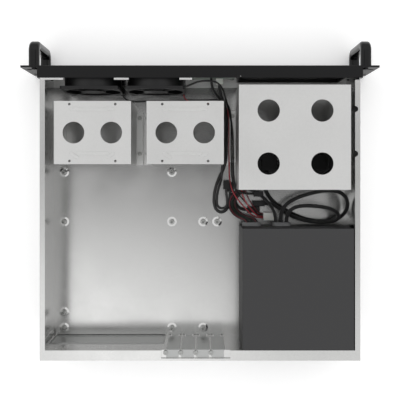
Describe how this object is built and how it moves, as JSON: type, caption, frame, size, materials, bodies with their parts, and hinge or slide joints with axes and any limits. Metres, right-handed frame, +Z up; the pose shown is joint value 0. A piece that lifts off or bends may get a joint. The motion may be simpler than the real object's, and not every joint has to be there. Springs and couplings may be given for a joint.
{
  "type": "rackmount server case",
  "caption": "Short rackmount server case, open at the top, with drive cages, fans, pull handles and a power supply.",
  "frame": {"origin": "on the resting plane, under the middle of the whole case, handles and back flange included", "axes": "front panel towards -Y, +Z up, +X to the right of a viewer who faces the front panel"},
  "size_m": [0.4826, 0.431, 0.088],
  "materials": {
    "galvanised_steel": "satin zinc-coated sheet",
    "cage_steel": "satin zinc-coated sheet, finer spangle",
    "black_paint": "fine textured powder coat",
    "black_plastic": "moulded, matt",
    "rotor_plastic": "moulded, satin",
    "button_plastic": "moulded, satin",
    "screw_zinc": "zinc plated",
    "screw_black": "blackened steel",
    "pin_brass": "nickel-plated, satin",
    "bright_steel": "nickel plated, satin",
    "supply_paint": "matt textured grey coat",
    "board_laminate": "solder-masked glass laminate",
    "white_nylon": "moulded",
    "black_nylon": "moulded",
    "grommet_grey": "moulded",
    "lamp_lens": "clear moulded lens",
    "cord_black": "extruded PVC sheath",
    "cord_red": "extruded PVC sheath",
    "loom_sleeve": "braided polyester sleeve"
  },
  "bodies": {
    "chassis": {"base_tray": "galvanised_steel", "bay_cover_lower": "black_plastic", "bay_cover_upper": "black_plastic", "board_plug": "white_nylon", "board_screws": "screw_zinc", "board_spacers": "screw_zinc", "button_switches": "black_plastic", "drive_cage_left": "cage_steel", "drive_cage_middle": "cage_steel", "drive_power_loom": "loom_sleeve", "drive_power_plug": "black_nylon", "ear_screws": "screw_black", "fan_frame_left": "black_plastic", "fan_frame_middle": "black_plastic", "fan_lead_black": "cord_black", "fan_lead_plug": "white_nylon", "fan_lead_red": "cord_red", "fan_screws": "screw_black", "foot_screws": "screw_zinc", "front_board": "board_laminate", "front_panel": "black_paint", "front_port_lead": "cord_black", "front_port_plug": "black_nylon", "front_wall": "galvanised_steel", "handle_left": "black_paint", "handle_right": "black_paint", "handle_screws": "screw_black", "indicator_lamps": "lamp_lens", "inlet_pins": "pin_brass", "large_bay_cage": "cage_steel", "lead_grommets": "grommet_grey", "main_power_loom": "loom_sleeve", "main_power_plug": "black_nylon", "mains_inlet": "black_plastic", "port_plate": "bright_steel", "port_shells": "bright_steel", "port_tongues": "white_nylon", "rack_ear_left": "black_paint", "rack_ear_right": "black_paint", "rear_wall": "galvanised_steel", "side_loom": "loom_sleeve", "side_loom_plug": "black_nylon", "slot_cover_1": "bright_steel", "slot_cover_2": "bright_steel", "slot_cover_3": "bright_steel", "slot_cover_4": "bright_steel", "slot_screws": "screw_zinc", "standoffs": "screw_zinc", "supply_cover": "supply_paint", "supply_fan_frame": "black_plastic", "supply_fan_grille": "bright_steel", "supply_housing": "supply_paint", "supply_screws": "screw_zinc", "switch_frame": "black_plastic"},
    "left_rotor": {"fan_rotor_left": "rotor_plastic"},
    "middle_rotor": {"fan_rotor_middle": "rotor_plastic"},
    "supply_rotor": {"supply_fan_rotor": "rotor_plastic"},
    "power_key": {"power_button": "button_plastic"},
    "reset_key": {"reset_button": "button_plastic"},
    "mains_rocker": {"rocker": "button_plastic"}
  },
  "joints": [
    {"name": "left_fan_spin", "type": "hinge", "parent": "chassis", "child": "left_rotor", "pos_m": [0.1495, -0.1621, 0.0435], "axis": [0, 1, 0], "continuous": true},
    {"name": "middle_fan_spin", "type": "hinge", "parent": "chassis", "child": "middle_rotor", "pos_m": [0.0616, -0.1621, 0.0435], "axis": [0, 1, 0], "continuous": true},
    {"name": "supply_fan_spin", "type": "hinge", "parent": "chassis", "child": "supply_rotor", "pos_m": [-0.107, 0.1882, 0.04375], "axis": [0, 1, 0], "continuous": true},
    {"name": "power_press", "type": "slide", "parent": "chassis", "child": "power_key", "axis": [0, 1, 0], "range_m": [0, 0.0008], "stiffness_N_per_m": 900, "springref_m": -0.0006},
    {"name": "reset_press", "type": "slide", "parent": "chassis", "child": "reset_key", "axis": [0, 1, 0], "range_m": [0, 0.0008], "stiffness_N_per_m": 900, "springref_m": -0.0006},
    {"name": "mains_rock", "type": "hinge", "parent": "chassis", "child": "mains_rocker", "pos_m": [-0.178, 0.1987, 0.027], "axis": [1, 0, 0], "range_deg": [0, 16]}
  ]
}
